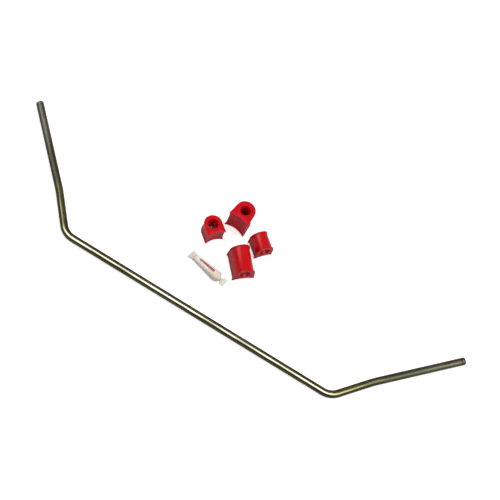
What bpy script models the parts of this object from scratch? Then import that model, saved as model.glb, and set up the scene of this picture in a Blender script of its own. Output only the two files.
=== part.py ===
"""Anti-roll bar kit, laid out on a bench: a bent round bar, two large and two small D-section bushings, and an
ampoule of fitting grease.

Frame: X runs along the bar's straight main run, Y points the way its arms reach, Z is up. The origin is the
middle of the kit's outline, on the bench. Every loose piece rests on the bench at Z = 0.
"""

import math

import bmesh
import bpy
from mathutils import Matrix, Vector

# ---- Driving dimensions, in metres and degrees ----

# The bar: 3/4 inch spring-steel rod, bent flat, its two arms mirrored.
BAR_DIAMETER = 0.01905
MAIN_RUN = 0.740  # between the corners of the two main bends
ARM_ROOT = 0.116  # from the main bend's corner to the gentle bend in the arm
ARM_ROOT_ANGLE = 50.7  # from the main run's line
ARM_END = 0.239  # from the gentle bend to the arm's cut end
ARM_END_ANGLE = 46.1
MAIN_BEND_RADIUS = 0.045
ARM_BEND_RADIUS = 0.20
BAR_END_CHAMFER = 0.0012
BAR_SIDES = 24
BEND_STEP = 5.0

# The bushings: moulded urethane, D-shaped, bored to run on the bar.
BORE_DIAMETER = 0.0194
MOUTH_DIAMETER = 0.0262  # the bore flares towards both ends
MOUTH_DEPTH = 0.0090
LIP_HEIGHT = 0.0021  # how far the end flanges stand proud of the body
LIP_THICKNESS = 0.0034
LIP_EDGE = 0.0006
LIP_FILLET = 0.0009
TOE_RADIUS = 0.0012
BORE_SIDES = 40
LARGE = {
    "length": 0.069,
    "crown_radius": 0.0231,
    "half_width": 0.0260,
    "depth": 0.0288,  # bore centre to the toes
    "saddle_rise": 0.0070,
}
SMALL = {
    "length": 0.0465,
    "crown_radius": 0.0208,
    "half_width": 0.0212,
    "depth": 0.0270,
    "saddle_rise": 0.0052,
}

# The ampoule: a blown tube, flat at the tail, with a round nozzle under a flat twist-off tab.
# Each station is (distance from the tail, width, thickness, squareness of the section).
SHELL_STATIONS = (
    (0.0000, 0.0254, 0.0024, 3.0),
    (0.0026, 0.0252, 0.0030, 3.0),
    (0.0084, 0.0200, 0.0056, 2.6),
    (0.0140, 0.0190, 0.0098, 2.2),
    (0.0270, 0.0204, 0.0130, 2.0),
    (0.0480, 0.0236, 0.0158, 2.0),
    (0.0680, 0.0266, 0.0180, 2.0),
    (0.0820, 0.0288, 0.0192, 2.0),
    (0.0880, 0.0282, 0.0186, 2.0),
    (0.0926, 0.0212, 0.0150, 2.0),
    (0.0956, 0.0124, 0.0106, 2.0),
    (0.0984, 0.0098, 0.0098, 2.0),
)
FIRST_HOLLOW_STATION = 3
WALL = 0.0009
TAB_STATIONS = (
    (0.0988, 0.0094, 0.0094, 2.0),
    (0.1002, 0.0108, 0.0070, 2.2),
    (0.1016, 0.0176, 0.0034, 3.4),
    (0.1028, 0.0192, 0.0030, 4.0),
    (0.1122, 0.0196, 0.0030, 4.0),
    (0.1134, 0.0182, 0.0022, 4.0),
)
SECTION_SIDES = 32

GREASE_CLEARANCE = 0.0005

# Where the loose pieces lie: X, then Y measured from the main run's line, then the turn about Z.
# A standing bushing's turn is the way its saddle faces; a lying one's is the way its bore points.
SMALL_STANDING_PLACE = (-0.0840, 0.2090, -40.0)
LARGE_STANDING_PLACE = (-0.0340, 0.2735, -95.0)
LARGE_LYING_PLACE = (0.0237, 0.1703, -49.0)
SMALL_LYING_PLACE = (0.0400, 0.2385, -40.5)
AMPOULE_PLACE = (-0.0384, 0.1165, -13.5)

bar_radius = BAR_DIAMETER / 2


def direction(degrees):
    """The unit vector in the bench plane at this angle from X."""
    return Vector((math.cos(math.radians(degrees)), math.sin(math.radians(degrees)), 0))


arm_corner = Vector((MAIN_RUN / 2, 0, 0)) + ARM_ROOT * direction(ARM_ROOT_ANGLE)
arm_tip = arm_corner + ARM_END * direction(ARM_END_ANGLE)
arm_tip_reach = arm_tip.y + (bar_radius - BAR_END_CHAMFER) * direction(ARM_END_ANGLE).x
crown_reach = LARGE_STANDING_PLACE[1] + LARGE["crown_radius"] + LIP_HEIGHT
main_run_y = -(max(arm_tip_reach, crown_reach) - bar_radius) / 2  # puts the origin in the middle of the outline


# ---- Scene, materials and shared modelling helpers ----


def clear_scene():
    for old in list(bpy.data.objects):
        bpy.data.objects.remove(old, do_unlink=True)


def make_material(name, colour, roughness, metallic, alpha=1.0):
    material = bpy.data.materials.new(name)
    material.use_nodes = True
    shader = material.node_tree.nodes["Principled BSDF"]
    shader.inputs["Base Color"].default_value = (*colour, 1.0)
    shader.inputs["Roughness"].default_value = roughness
    shader.inputs["Metallic"].default_value = metallic
    shader.inputs["Alpha"].default_value = alpha
    return material


def add_object(name, data, material=None):
    made = bpy.data.objects.new(name, data)
    bpy.context.scene.collection.objects.link(made)
    if material and not data.materials:
        data.materials.append(material)
    return made


def add_anchor(name, location, turn=0.0, tilt=0.0):
    """An empty on a joint's axis. It is tilted about its own Y, then turned about Z."""
    anchor = add_object(name, None)
    anchor.location = location
    anchor.rotation_euler = (0, math.radians(tilt), math.radians(turn))
    return anchor


def mesh_from(name, shape):
    bmesh.ops.recalc_face_normals(shape, faces=shape.faces)
    mesh = bpy.data.meshes.new(name)
    shape.to_mesh(mesh)
    shape.free()
    mesh.shade_smooth()
    mesh.set_sharp_from_angle(angle=math.radians(32))
    return mesh


def loft(name, rings):
    """A closed body through rings of equal point counts, with flat ends."""
    shape = bmesh.new()
    loops = [[shape.verts.new(point) for point in ring] for ring in rings]
    for near, far in zip(loops, loops[1:]):
        for i in range(len(near)):
            j = (i + 1) % len(near)
            shape.faces.new((near[i], near[j], far[j], far[i]))
    shape.faces.new(loops[0])
    shape.faces.new(loops[-1])
    return mesh_from(name, shape)


def arc(centre, radius, start, end, steps):
    """Points on an arc in 2D from angle start to angle end, in degrees, both ends included."""
    angles = (math.radians(start + (end - start) * i / steps) for i in range(steps + 1))
    return [(centre[0] + radius * math.cos(a), centre[1] + radius * math.sin(a)) for a in angles]


# ---- The bar ----


def rounded_path(corners, radii):
    """The corner points with each inner corner replaced by an arc of its radius."""
    path = [corners[0]]
    for before, corner, after, radius in zip(corners, corners[1:], corners[2:], radii):
        arriving = (corner - before).normalized()
        leaving = (after - corner).normalized()
        turn = arriving.angle(leaving)
        inward = (leaving - arriving).normalized()
        centre = corner + inward * radius / math.cos(turn / 2)
        steps = max(2, math.ceil(math.degrees(turn) / BEND_STEP))
        side = math.copysign(1, arriving.cross(leaving).z)
        first = corner - arriving * radius * math.tan(turn / 2) - centre
        for i in range(steps + 1):
            path.append(centre + Matrix.Rotation(side * turn * i / steps, 3, "Z") @ first)
    return [*path, corners[-1]]


def bar_path():
    """Tip to tip, along the middle of the bar."""
    right = [Vector((MAIN_RUN / 2, 0, 0)), arm_corner, arm_tip]
    left = [Vector((-p.x, p.y, 0)) for p in reversed(right)]
    lift = Vector((0, main_run_y, bar_radius))
    corners = [p + lift for p in left + right]
    return rounded_path(corners, [ARM_BEND_RADIUS, MAIN_BEND_RADIUS, MAIN_BEND_RADIUS, ARM_BEND_RADIUS])


def make_bar():
    path = bar_path()
    start = path[0] + (path[1] - path[0]).normalized() * BAR_END_CHAMFER
    end = path[-1] + (path[-2] - path[-1]).normalized() * BAR_END_CHAMFER
    path = [path[0], start, *path[1:-1], end, path[-1]]
    curve = bpy.data.curves.new("sway_bar", "CURVE")
    curve.dimensions = "3D"
    curve.twist_mode = "Z_UP"
    curve.bevel_depth = bar_radius
    curve.bevel_resolution = (BAR_SIDES - 4) // 2
    curve.use_fill_caps = True
    spline = curve.splines.new("POLY")
    spline.points.add(len(path) - 1)
    for point, place in zip(spline.points, path):
        point.co = (*place, 1.0)
    for tip in (spline.points[0], spline.points[-1]):
        tip.radius = 1 - BAR_END_CHAMFER / bar_radius
    add_object("sway_bar", curve, make_material("zinc_steel", (0.33, 0.29, 0.14), 0.32, 1.0))


# ---- The bushings ----


def bushing_profile(size, proud):
    """The D outline about the bore's centre, crown towards +V, grown by proud on every side."""
    crown = size["crown_radius"] + proud
    toe_u = size["half_width"] + proud - TOE_RADIUS
    toe_v = -size["depth"] - proud + TOE_RADIUS
    # The flank is the line that touches both the crown circle and the toe circle.
    reach = math.hypot(toe_u, toe_v)
    bearing = math.degrees(math.atan2(toe_v, toe_u))
    flank = bearing + math.degrees(math.acos((crown - TOE_RADIUS) / reach))
    # The saddle is an arc that rises from toe to toe.
    rise = size["saddle_rise"]
    saddle_radius = (toe_u**2 + rise**2) / (2 * rise)
    saddle_centre = (0, toe_v - TOE_RADIUS + rise - saddle_radius)
    saddle_half = math.degrees(math.asin(toe_u / saddle_radius))
    outline = arc((0, 0), crown, flank, 180 - flank, 26)
    outline += arc((-toe_u, toe_v), TOE_RADIUS, 180 - flank, 270, 4)
    outline += arc(saddle_centre, saddle_radius, 90 + saddle_half, 90 - saddle_half, 14)[1:-1]
    outline += arc((toe_u, toe_v), TOE_RADIUS, -90, flank, 4)
    return outline


def make_bushing_mesh(name, size, material):
    """The bushing's body with a flange at each end, its bore along Z with the middle at the origin."""
    half = size["length"] / 2
    steps = (
        (half, LIP_HEIGHT - LIP_EDGE),
        (half - LIP_EDGE, LIP_HEIGHT),
        (half - LIP_THICKNESS, LIP_HEIGHT),
        (half - LIP_THICKNESS - LIP_FILLET, 0.0),
    )
    sections = [(-z, proud) for z, proud in steps] + [(z, proud) for z, proud in reversed(steps)]
    rings = [[(u, v, z) for u, v in bushing_profile(size, proud)] for z, proud in sections]
    mesh = loft(name, rings)
    mesh.materials.append(material)
    return mesh


def make_bore_cutter(name, size):
    """A turned core that cuts the bore and its two flared mouths, and runs on past both faces."""
    half = size["length"] / 2
    bore, mouth = BORE_DIAMETER / 2, MOUTH_DIAMETER / 2
    flare = (mouth - bore) / MOUTH_DEPTH
    beyond = 0.004
    turned = ((half + beyond, mouth + beyond * flare), (half - MOUTH_DEPTH, bore))
    sections = [(-z, r) for z, r in turned] + [(z, r) for z, r in reversed(turned)]
    around = [direction(360 * (i + 0.5) / BORE_SIDES) for i in range(BORE_SIDES)]
    cutter = add_object(name, loft(name, [[d * r + Vector((0, 0, z)) for d in around] for z, r in sections]))
    cutter.hide_render = True
    cutter.display_type = "WIRE"
    return cutter


def make_bushing(name, size, place, standing, material):
    x, y, turn = place
    mesh = make_bushing_mesh(name, size, material)
    rest = size["length"] / 2 if standing else size["depth"] + LIP_HEIGHT
    anchor = add_anchor(name + "_lift", (x, main_run_y + y, rest), turn)
    bushing = add_object(name, mesh)
    cutter = make_bore_cutter(name + "_core", size)
    if standing:
        # The saddle, at -V, turns to the anchor's +X.
        posture = Matrix.Rotation(math.radians(90), 4, "Z")
    else:
        # The bore, along Z, lies down along the anchor's X, crown up.
        posture = Matrix.Rotation(math.radians(90), 4, "Z") @ Matrix.Rotation(math.radians(90), 4, "X")
    for piece in (bushing, cutter):
        piece.parent = anchor
        piece.matrix_local = posture
    bore = bushing.modifiers.new("bore", "BOOLEAN")
    bore.operation = "DIFFERENCE"
    bore.solver = "EXACT"
    bore.object = cutter


def make_bushings():
    red = (0.62, 0.0, 0.012)
    layout = (
        ("large_bushing_standing", LARGE, LARGE_STANDING_PLACE, True),
        ("large_bushing_lying", LARGE, LARGE_LYING_PLACE, False),
        ("small_bushing_standing", SMALL, SMALL_STANDING_PLACE, True),
        ("small_bushing_lying", SMALL, SMALL_LYING_PLACE, False),
    )
    for name, size, place, standing in layout:
        make_bushing(name, size, place, standing, make_material(name + "_urethane", red, 0.28, 0.0))


# ---- The ampoule ----


def section(station, shrink=0.0):
    """A superellipse ring across X at one station, made smaller by shrink on every side."""
    x, width, thickness, squareness = station
    ring = []
    for i in range(SECTION_SIDES):
        a = 2 * math.pi * i / SECTION_SIDES
        c, s = math.cos(a), math.sin(a)
        across = math.copysign(abs(c) ** (2 / squareness), c) * (width / 2 - shrink)
        up = math.copysign(abs(s) ** (2 / squareness), s) * (thickness / 2 - shrink)
        ring.append(Vector((x, across, up)))
    return ring


def ampoule_posture():
    """Where the ampoule's belly and tail both touch the bench: its anchor height and its tilt."""
    belly = max(SHELL_STATIONS, key=lambda station: station[2])
    tail = SHELL_STATIONS[0]
    tilt = math.asin((belly[2] - tail[2]) / 2 / (belly[0] - tail[0]))
    lowest = min(-s[0] * -math.sin(tilt) - s[2] / 2 * math.cos(tilt) for s in SHELL_STATIONS)
    return -lowest, math.degrees(tilt)


def make_ampoule():
    height, tilt = ampoule_posture()
    x, y, turn = AMPOULE_PLACE
    middle = TAB_STATIONS[-1][0] / 2
    tail = Vector((x, main_run_y + y, height)) - direction(turn) * middle
    anchor = add_anchor("ampoule_lift", tail, turn, -tilt)

    hollow = SHELL_STATIONS[FIRST_HOLLOW_STATION:]
    outside = [section(s) for s in SHELL_STATIONS]
    inside = [section(s, WALL) for s in reversed(hollow)]
    fill = [section(s, WALL + GREASE_CLEARANCE) for s in hollow]
    for ring, nudge in ((fill[0], GREASE_CLEARANCE), (fill[-1], -GREASE_CLEARANCE)):
        for point in ring:
            point.x += nudge

    looks = {
        "ampoule_shell": (outside + inside, make_material("clear_plastic", (0.86, 0.84, 0.78), 0.2, 0.0, 0.4)),
        "ampoule_grease": (fill, make_material("fitting_grease", (0.80, 0.70, 0.56), 0.4, 0.0)),
        "ampoule_twist_tab": (
            [section(s) for s in TAB_STATIONS],
            make_material("clear_tab", (0.86, 0.86, 0.80), 0.2, 0.0, 0.5),
        ),
    }
    for name, (rings, material) in looks.items():
        piece = add_object(name, loft(name, rings), material)
        piece.parent = anchor


clear_scene()
make_bar()
make_bushings()
make_ampoule()
bpy.context.view_layer.update()
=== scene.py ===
# %% [markdown]
# # A sway bar and its bushings, dressed for a studio shot
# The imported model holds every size, place and joint. This lesson makes it look real: a bent steel bar
# with an iridescent yellow-zinc finish, four glossy red urethane bushings and a clear ampoule of grease.
# We measure the bar first, because the camera and the pieces take their places from its main run.

import math

import bmesh
import bpy
from mathutils import Matrix, Vector


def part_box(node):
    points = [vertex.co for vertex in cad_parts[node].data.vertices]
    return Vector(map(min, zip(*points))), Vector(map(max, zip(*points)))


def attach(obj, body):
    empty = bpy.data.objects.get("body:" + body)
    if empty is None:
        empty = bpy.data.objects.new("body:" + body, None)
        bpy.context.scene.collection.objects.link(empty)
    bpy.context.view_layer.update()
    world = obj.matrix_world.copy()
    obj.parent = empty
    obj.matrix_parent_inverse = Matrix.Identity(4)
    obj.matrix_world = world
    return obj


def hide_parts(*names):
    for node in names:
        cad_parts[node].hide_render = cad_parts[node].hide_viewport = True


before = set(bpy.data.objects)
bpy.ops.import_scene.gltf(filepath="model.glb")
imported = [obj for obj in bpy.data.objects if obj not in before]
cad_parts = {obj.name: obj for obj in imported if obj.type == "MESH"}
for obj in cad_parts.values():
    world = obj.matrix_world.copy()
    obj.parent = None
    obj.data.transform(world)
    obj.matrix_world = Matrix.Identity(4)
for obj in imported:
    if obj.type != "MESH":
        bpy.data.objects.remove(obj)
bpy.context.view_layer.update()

bar_low, bar_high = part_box("sway_bar")
bar_radius = (bar_high.z - bar_low.z) / 2
main_run_y = bar_low.y + bar_radius
print(f"bar: {2000 * bar_radius:.2f} mm thick, main run at y = {1000 * main_run_y:.1f} mm")


# %% [markdown]
# ## The camera
# A long lens far away flattens the view, as a product photographer would. The camera looks down steeply
# and is rolled, so that the bar crosses the picture on a slant. It could be aimed with a constraint, but
# a rolled camera needs its own axes: we build `right` and `up` by hand and turn both about the line of
# sight.

# %% Camera
CAMERA_ELEVATION = math.radians(65.0)
CAMERA_AZIMUTH = math.radians(5.9)
CAMERA_ROLL = math.radians(26.0)
CAMERA_DISTANCE = 4.069
LENS = 120.0
LOOK_AT = Vector((0.023, main_run_y + 0.2213, 0.0))

to_camera = Vector((
    math.sin(CAMERA_AZIMUTH) * math.cos(CAMERA_ELEVATION),
    -math.cos(CAMERA_AZIMUTH) * math.cos(CAMERA_ELEVATION),
    math.sin(CAMERA_ELEVATION),
))
level_right = Vector((math.cos(CAMERA_AZIMUTH), math.sin(CAMERA_AZIMUTH), 0.0))
roll = Matrix.Rotation(CAMERA_ROLL, 3, to_camera)
camera_right = roll @ level_right
camera_up = roll @ to_camera.cross(level_right)


def place_in_scene(name, data):
    """A new object with this data, linked to the scene."""
    thing = bpy.data.objects.new(name, data)
    bpy.context.scene.collection.objects.link(thing)
    return thing


camera_data = bpy.data.cameras.new("camera")
camera_data.lens = LENS
camera_data.sensor_width = 36.0
camera_data.clip_end = 60.0
camera = place_in_scene("camera", camera_data)
camera.matrix_world = Matrix.Translation(LOOK_AT + to_camera * CAMERA_DISTANCE) @ (
    Matrix((camera_right, camera_up, to_camera)).transposed().to_4x4()
)
bpy.context.scene.camera = camera
bpy.context.scene.view_settings.view_transform = "Standard"
print("camera stands at", [round(v, 2) for v in camera.matrix_world.translation])


# %% [markdown]
# ## Small helpers for node trees
# Materials, the world and geometry trees are all graphs. They could be wired by hand, but a script can be
# read and run again. `add` makes a node and sets its inputs by socket name; `join` draws a wire.

# %% Nodes and wires
def add(tree, kind, inputs=None, **settings):
    """A new node with its settings. Each input is wired if a socket is given, and set if a value is."""
    node = tree.nodes.new(kind)
    for name, value in settings.items():
        setattr(node, name, value)
    for key, value in (inputs or {}).items():
        if isinstance(value, bpy.types.NodeSocket):
            tree.links.new(value, node.inputs[key])
        else:
            node.inputs[key].default_value = value
    return node


def join(tree, source, target):
    tree.links.new(source, target)


print("node helpers ready")


# %% Arithmetic with nodes
def math_node(tree, operation, *values, clamp=False):
    """The output of a Math node on up to three values."""
    node = add(tree, "ShaderNodeMath", dict(enumerate(values)), operation=operation, use_clamp=clamp)
    return node.outputs[0]


def times(tree, first, second):
    return math_node(tree, "MULTIPLY", first, second)


def plus(tree, first, second, clamp=False):
    return math_node(tree, "ADD", first, second, clamp=clamp)


def apart(tree, first, second):
    """How far apart two values are."""
    return math_node(tree, "ABSOLUTE", math_node(tree, "SUBTRACT", first, second))


def map_range(tree, value, low, high, to_low=0.0, to_high=1.0, smooth=False):
    """value moved from low..high to to_low..to_high, and held there."""
    style = "SMOOTHSTEP" if smooth else "LINEAR"
    inputs = {"Value": value, "From Min": low, "From Max": high, "To Min": to_low, "To Max": to_high}
    return add(tree, "ShaderNodeMapRange", inputs, interpolation_type=style).outputs["Result"]


def vector_node(tree, operation, *vectors, result="Vector"):
    """The output of a Vector Math node on one or two vectors."""
    node = add(tree, "ShaderNodeVectorMath", dict(enumerate(vectors)), operation=operation)
    return node.outputs[result]


print("arithmetic helpers ready")


# %% Colours and materials with nodes
def grey(tree, value):
    """A colour with the same value in all three channels."""
    return add(tree, "ShaderNodeCombineColor", {"Red": value, "Green": value, "Blue": value}).outputs[0]


def blend(tree, factor, first, second, mode="MIX"):
    """The colour output of a Mix node. Plain colours are given without their alpha."""
    mix = add(tree, "ShaderNodeMix", data_type="RGBA", blend_type=mode)
    for index, value in ((0, factor), (6, first), (7, second)):
        if isinstance(value, bpy.types.NodeSocket):
            join(tree, value, mix.inputs[index])
        else:
            mix.inputs[index].default_value = (*value, 1.0) if index else value
    return mix.outputs[2]


def ramp(tree, factor, stops):
    """A colour ramp through (position, colour) stops."""
    node = add(tree, "ShaderNodeValToRGB", {"Fac": factor})
    elements = node.color_ramp.elements
    while len(elements) < len(stops):
        elements.new(0.5)
    for element, (position, colour) in zip(elements, stops):
        element.position = position
        element.color = (*colour, 1.0)
    return node.outputs["Color"]


def new_material(name):
    """A material with its node tree and its Principled shader."""
    material = bpy.data.materials.new(name)
    material.use_nodes = True
    tree = material.node_tree
    return material, tree, tree.nodes["Principled BSDF"]


print("colour and material helpers ready")


# %% [markdown]
# ## The studio as a world
# A studio could be built from lamps and cards, but a world is simpler, and it plays three parts here. The
# camera sees it white. Matt surfaces are lit by a dome that is brightest overhead, so that upright faces
# stay darker. Polished surfaces mirror a dim room with one broad softbox near the camera: the softbox
# draws the bright line along the bar, and the room darkens its flanks, which the bar's finish also darkens
# with painted reflections. The softbox is wider from side to side, so that the slanting arms catch it too.

# %% World
DOME_AT_HORIZON = 0.52
DOME_OVERHEAD = 1.15
ROOM_IN_MIRROR = 0.16
ROOM_OVERHEAD = 0.45 * ROOM_IN_MIRROR
SOFTBOX_IN_MIRROR = 2.60
SOFTBOX_WARMTH = 0.97
SOFTBOX_SHIFT = Vector((0.06, 0.16, 0.0))
SOFTBOX_SQUEEZE = (0.58, 1.50, 1.0)
SOFTBOX_EDGES = (0.73, 0.36)
WHITE = (1.0, 1.0, 1.0)


def softbox_amount(tree, direction):
    """1 in the middle of the softbox and 0 outside it."""
    middle = (to_camera + SOFTBOX_SHIFT).normalized()
    offset = vector_node(tree, "SUBTRACT", direction, middle)
    offset = vector_node(tree, "MULTIPLY", offset, SOFTBOX_SQUEEZE)
    reach = vector_node(tree, "LENGTH", offset, result="Value")
    return map_range(tree, reach, *SOFTBOX_EDGES, smooth=True)


world = bpy.data.worlds.new("studio")
world.use_nodes = True
tree = world.node_tree
sight = add(tree, "ShaderNodeLightPath")
direction = add(tree, "ShaderNodeTexCoord").outputs["Generated"]
height = add(tree, "ShaderNodeSeparateXYZ", {0: direction}).outputs["Z"]
dome = map_range(tree, height, 0.0, 1.0, DOME_AT_HORIZON, DOME_OVERHEAD)
room = map_range(tree, height, 0.0, 1.0, ROOM_IN_MIRROR, ROOM_OVERHEAD)
mirrored = map_range(tree, softbox_amount(tree, direction), 0.0, 1.0, room, SOFTBOX_IN_MIRROR)
mirrored_colour = add(tree, "ShaderNodeCombineColor", {
    "Red": mirrored, "Green": mirrored, "Blue": times(tree, mirrored, SOFTBOX_WARMTH)}).outputs[0]
colour = blend(tree, sight.outputs["Is Glossy Ray"], grey(tree, dome), mirrored_colour)
colour = blend(tree, sight.outputs["Is Camera Ray"], colour, WHITE)
join(tree, colour, tree.nodes["Background"].inputs["Color"])
# Each kind of ray sees its own world, so rays find it by themselves, without a sampling map.
world.cycles.sampling_method = "NONE"
bpy.context.scene.world = world
print(f"world: dome {DOME_AT_HORIZON} to {DOME_OVERHEAD}, softbox {SOFTBOX_IN_MIRROR}")


# %% [markdown]
# ## The floor
# It throws less light back up than it shows to the camera, so that undersides stay dark, and it glows a
# little to the camera, which leaves only the faintest shadows. The glow stops under the small standing
# bushing, where the floor is only seen down a bore that should look dark: the patch is a painted shade.

# %% Floor
FLOOR_SEEN = (0.96, 0.96, 0.955)
FLOOR_TO_MATT = (0.38, 0.38, 0.375)
FLOOR_IN_MIRROR = (0.40, 0.40, 0.39)
FLOOR_GLOW = 0.46
FLOOR_HALF = 12.0
FLOOR_DROP = 0.0002
# X, Y from the main run's line, and a turn in degrees.
SMALL_STANDING_PLACE = (-0.0840, 0.2090, -40.0)
# The glow comes back between these distances from the bore's axis.
GLOW_FROM_BORE = (0.0125, 0.0135)

sweep, tree, shader = new_material("pale_sweep")
sight = add(tree, "ShaderNodeLightPath")
colour = blend(tree, sight.outputs["Is Diffuse Ray"], FLOOR_SEEN, FLOOR_TO_MATT)
colour = blend(tree, sight.outputs["Is Glossy Ray"], colour, FLOOR_IN_MIRROR)
join(tree, colour, shader.inputs["Base Color"])
shader.inputs["Roughness"].default_value = 0.9
shader.inputs["Specular IOR Level"].default_value = 0.0
shader.inputs["Emission Color"].default_value = (*WHITE, 1.0)
here = add(tree, "ShaderNodeNewGeometry").outputs["Position"]
# No glow round the bore's axis: a painted shade, seen down the bore.
bore = (SMALL_STANDING_PLACE[0], main_run_y + SMALL_STANDING_PLACE[1], 0.0)
from_bore = vector_node(tree, "DISTANCE", here, bore, result="Value")
glow = times(tree, sight.outputs["Is Camera Ray"], FLOOR_GLOW)
glow = times(tree, glow, map_range(tree, from_bore, *GLOW_FROM_BORE))
join(tree, glow, shader.inputs["Emission Strength"])

square = [(x * FLOOR_HALF, y * FLOOR_HALF, 0) for x, y in ((-1, -1), (1, -1), (1, 1), (-1, 1))]
mesh = bpy.data.meshes.new("floor")
mesh.from_pydata(square, [], [(0, 1, 2, 3)])
mesh.materials.append(sweep)
floor = place_in_scene("floor", mesh)
floor.location.z = -FLOOR_DROP
print(f"floor: {2 * FLOOR_HALF:.0f} m square")


# %% [markdown]
# ## The key light
# The dome alone would leave the forms flat. One large round lamp, high and behind, models them and stays
# soft. It isn't mirrored, so the bar shows one bright line.

# %% Key light
KEY_PLACE = (2.2, 2.4, 5.1)
KEY_SIZE = 4.0
KEY_POWER = 150.0

data = bpy.data.lights.new("key", "AREA")
data.shape = "DISK"
data.size = KEY_SIZE
data.energy = KEY_POWER
light = place_in_scene("key", data)
light.location = KEY_PLACE
light.rotation_euler = Vector(KEY_PLACE).to_track_quat("Z", "Y").to_euler()
light.visible_camera = False
light.visible_glossy = False
print(f"key light: {KEY_SIZE} m across, {KEY_POWER:.0f} W")


# %% [markdown]
# ## Shader groups shared by the finishes
# Real surfaces are never even. Three small groups carry that: *Fine grain* gives a height for moulding or
# drawing marks, *Cloudiness* a slow variation in tone, and *Dust* the few pale specks that settle on
# everything. The noise could be copied into each material, but a group is tuned once and reads as one
# word.

# %% How a group is made and used
def new_shader_group(name, defaults, output):
    """A group with an input for each default and one float output: its tree, ins and outs."""
    group = bpy.data.node_groups.new(name, "ShaderNodeTree")
    for title, default in defaults.items():
        kind = "NodeSocketFloat" if isinstance(default, float) else "NodeSocketVector"
        group.interface.new_socket(title, in_out="INPUT", socket_type=kind).default_value = default
    group.interface.new_socket(output, in_out="OUTPUT", socket_type="NodeSocketFloat")
    return group, group.nodes.new("NodeGroupInput").outputs, group.nodes.new("NodeGroupOutput").inputs


def use_group(tree, group, **inputs):
    """The output of a group placed in a material with its own values."""
    return add(tree, "ShaderNodeGroup", inputs, node_tree=group).outputs[0]


def stretched_noise(group, given, **character):
    """A noise that follows Place, drawn out by Stretch, in features of about Size."""
    stretched = vector_node(group, "MULTIPLY", given["Place"], given["Stretch"])
    scale = math_node(group, "DIVIDE", 1.0, given["Size"])
    return add(group, "ShaderNodeTexNoise", {"Vector": stretched, "Scale": scale, **character}).outputs["Fac"]


ANYWHERE = {"Place": (0.0, 0.0, 0.0)}
STRETCHED = {**ANYWHERE, "Stretch": (1.0, 1.0, 1.0)}
print("group helpers ready")


# %% Fine grain
# Fine marks, as a height between 0 and 1.
fine_grain, given, result = new_shader_group(
    "Fine grain", {**STRETCHED, "Size": 0.001, "Roughness": 0.6}, "Height")
noise = stretched_noise(fine_grain, given, Detail=5.0, Roughness=given["Roughness"])
join(fine_grain, noise, result["Height"])
print("shader group:", fine_grain.name)


# %% Cloudiness
# Slow, soft variation: 0 in some places and 1 in others, with Sharpness from 0 to 1.
cloudiness, given, result = new_shader_group(
    "Cloudiness", {**STRETCHED, "Size": 0.03, "Sharpness": 0.5}, "Amount")
noise = stretched_noise(cloudiness, given, Detail=3.0, Roughness=0.55, Distortion=0.4)
low = times(cloudiness, given["Sharpness"], 0.42)
high = math_node(cloudiness, "SUBTRACT", 1.0, low)
join(cloudiness, map_range(cloudiness, noise, low, high, smooth=True), result["Amount"])
print("shader group:", cloudiness.name)


# %% Dust
# Small separate specks: 1 on a speck and 0 between, fewer as Cleanness nears 1.
dust, given, result = new_shader_group("Dust", {**ANYWHERE, "Spacing": 0.002, "Cleanness": 0.7}, "Speck")
scale = math_node(dust, "DIVIDE", 1.0, given["Spacing"])
cells = add(dust, "ShaderNodeTexVoronoi", {"Vector": given["Place"], "Scale": scale})
near = map_range(dust, cells.outputs["Distance"], 0.06, 0.16, 1.0, 0.0)
chosen = add(dust, "ShaderNodeSeparateColor", {"Color": cells.outputs["Color"]})
kept = math_node(dust, "GREATER_THAN", chosen.outputs["Red"], given["Cleanness"])
join(dust, times(dust, near, kept), result["Speck"])
print("shader group:", dust.name)


# %% [markdown]
# ## Materials and pieces
# Every finish starts from the Principled shader and ends in a bump. Every piece is one mesh with its
# place already in its points, so its object stays at the origin. It then says which body it moves with,
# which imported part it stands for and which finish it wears.

# %% Surface and piece helpers
def own_coordinates(tree, name):
    """A vector that the mesh carries, and its three parts."""
    place = add(tree, "ShaderNodeAttribute", attribute_name=name).outputs["Vector"]
    return place, add(tree, "ShaderNodeSeparateXYZ", {0: place}).outputs


def set_surface(tree, shader, colour, roughness, relief, depth):
    """Feeds the shader. depth is what a relief of 1 stands for, in metres."""
    join(tree, colour, shader.inputs["Base Color"])
    join(tree, roughness, shader.inputs["Roughness"])
    bump = add(tree, "ShaderNodeBump", {"Height": relief, "Distance": depth, "Strength": 1.0})
    join(tree, bump.outputs["Normal"], shader.inputs["Normal"])


def add_piece(name, mesh, material, body, node):
    mesh.name = name
    piece = place_in_scene(name, mesh)
    if material:
        mesh.materials.append(material)
    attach(piece, body)
    if node:
        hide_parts(node)
    print(f"{name}: {len(mesh.polygons)} faces, rides on {body}")


def mesh_from_bmesh(shape, sharp_angle):
    """A smooth-shaded mesh with outward faces, and creases where it turns by more than sharp_angle."""
    bmesh.ops.recalc_face_normals(shape, faces=shape.faces)
    mesh = bpy.data.meshes.new("piece")
    shape.to_mesh(mesh)
    shape.free()
    mesh.shade_smooth()
    mesh.set_sharp_from_angle(angle=math.radians(sharp_angle))
    return mesh


def add_loops(shape, loops):
    """Faces between each ring of points and the next."""
    count = len(loops[0])
    for near, far in zip(loops, loops[1:]):
        for i in range(count):
            j = (i + 1) % count
            shape.faces.new((near[i], near[j], far[j], far[i]))


print("surface and piece helpers ready")


# %% [markdown]
# ## The bar
# The real bar is one steel rod, bent cold in a jig: two firm bends at the ends of the main run, and a
# slight one part-way along each arm. It could be joined from tubes, but a circle swept along a line is
# exactly that. Each corner of the line carries its bend radius and its girth; a girth under 1 at the very
# ends makes the chamfer.

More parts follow.
